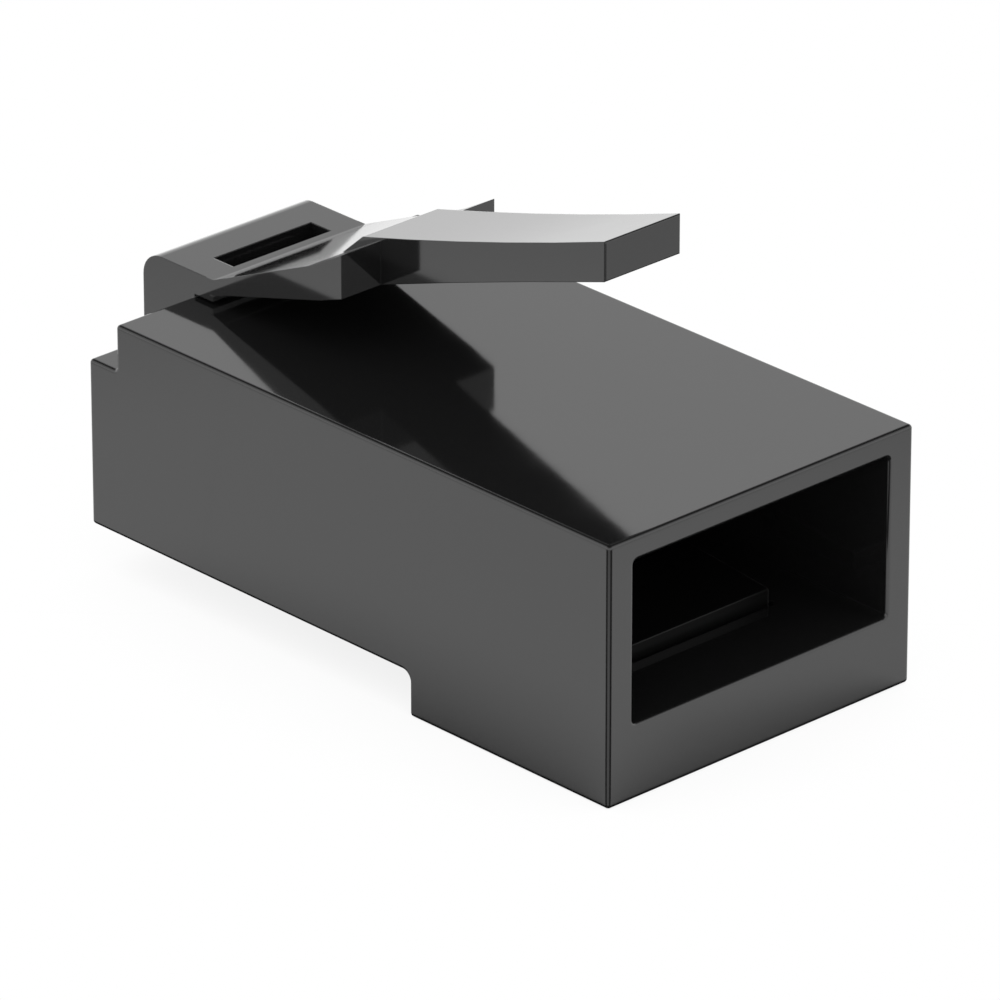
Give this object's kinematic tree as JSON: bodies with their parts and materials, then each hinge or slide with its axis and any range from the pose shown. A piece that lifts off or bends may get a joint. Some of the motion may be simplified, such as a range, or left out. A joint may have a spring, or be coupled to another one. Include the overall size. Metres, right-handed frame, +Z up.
{
  "type": "eight position modular plug",
  "caption": "Glossy black modular plug for twisted pair cable, with a sprung latch, blade contacts, clamp bars and an open cable cavity at the rear.",
  "frame": {"origin": "under the middle of the whole plug, on the surface that it rests on", "axes": "+X towards the cable end, +Y across the plug, +Z up towards the latch"},
  "size_m": [0.0226, 0.0118, 0.0142],
  "materials": {
    "housing_plastic": "glossy moulded black",
    "latch_plastic": "glossy moulded black",
    "bar_plastic": "glossy moulded black",
    "contact_metal": "thin gold plating over phosphor bronze"
  },
  "bodies": {
    "housing": {"housing": "housing_plastic"},
    "latch": {"latch": "latch_plastic"},
    "jacket_clamp_bar": {"jacket_clamp_bar": "bar_plastic"},
    "conductor_clamp_bar": {"conductor_clamp_bar": "bar_plastic"},
    "contact_1": {"contact_1": "contact_metal"},
    "contact_2": {"contact_2": "contact_metal"},
    "contact_3": {"contact_3": "contact_metal"},
    "contact_4": {"contact_4": "contact_metal"},
    "contact_5": {"contact_5": "contact_metal"},
    "contact_6": {"contact_6": "contact_metal"},
    "contact_7": {"contact_7": "contact_metal"},
    "contact_8": {"contact_8": "contact_metal"}
  },
  "joints": [
    {"name": "latch_flex", "type": "hinge", "parent": "housing", "child": "latch", "pos_m": [-0.00823, 0, 0.00859], "axis": [0, 1, 0], "range_deg": [0, 18], "stiffness_Nm_per_rad": 0.08},
    {"name": "jacket_bar_press", "type": "hinge", "parent": "housing", "child": "jacket_clamp_bar", "pos_m": [0.00809, 0, 0.00184], "axis": [0, 1, 0], "range_deg": [0, 22]},
    {"name": "conductor_bar_press", "type": "hinge", "parent": "housing", "child": "conductor_clamp_bar", "pos_m": [-0.00243, 0, 0.00342], "axis": [0, 1, 0], "range_deg": [0, 14]},
    {"name": "contact_1_crimp", "type": "slide", "parent": "housing", "child": "contact_1", "axis": [0, 0, 1], "range_m": [0, 0.00085]},
    {"name": "contact_2_crimp", "type": "slide", "parent": "housing", "child": "contact_2", "axis": [0, 0, 1], "range_m": [0, 0.00085]},
    {"name": "contact_3_crimp", "type": "slide", "parent": "housing", "child": "contact_3", "axis": [0, 0, 1], "range_m": [0, 0.00085]},
    {"name": "contact_4_crimp", "type": "slide", "parent": "housing", "child": "contact_4", "axis": [0, 0, 1], "range_m": [0, 0.00085]},
    {"name": "contact_5_crimp", "type": "slide", "parent": "housing", "child": "contact_5", "axis": [0, 0, 1], "range_m": [0, 0.00085]},
    {"name": "contact_6_crimp", "type": "slide", "parent": "housing", "child": "contact_6", "axis": [0, 0, 1], "range_m": [0, 0.00085]},
    {"name": "contact_7_crimp", "type": "slide", "parent": "housing", "child": "contact_7", "axis": [0, 0, 1], "range_m": [0, 0.00085]},
    {"name": "contact_8_crimp", "type": "slide", "parent": "housing", "child": "contact_8", "axis": [0, 0, 1], "range_m": [0, 0.00085]}
  ]
}
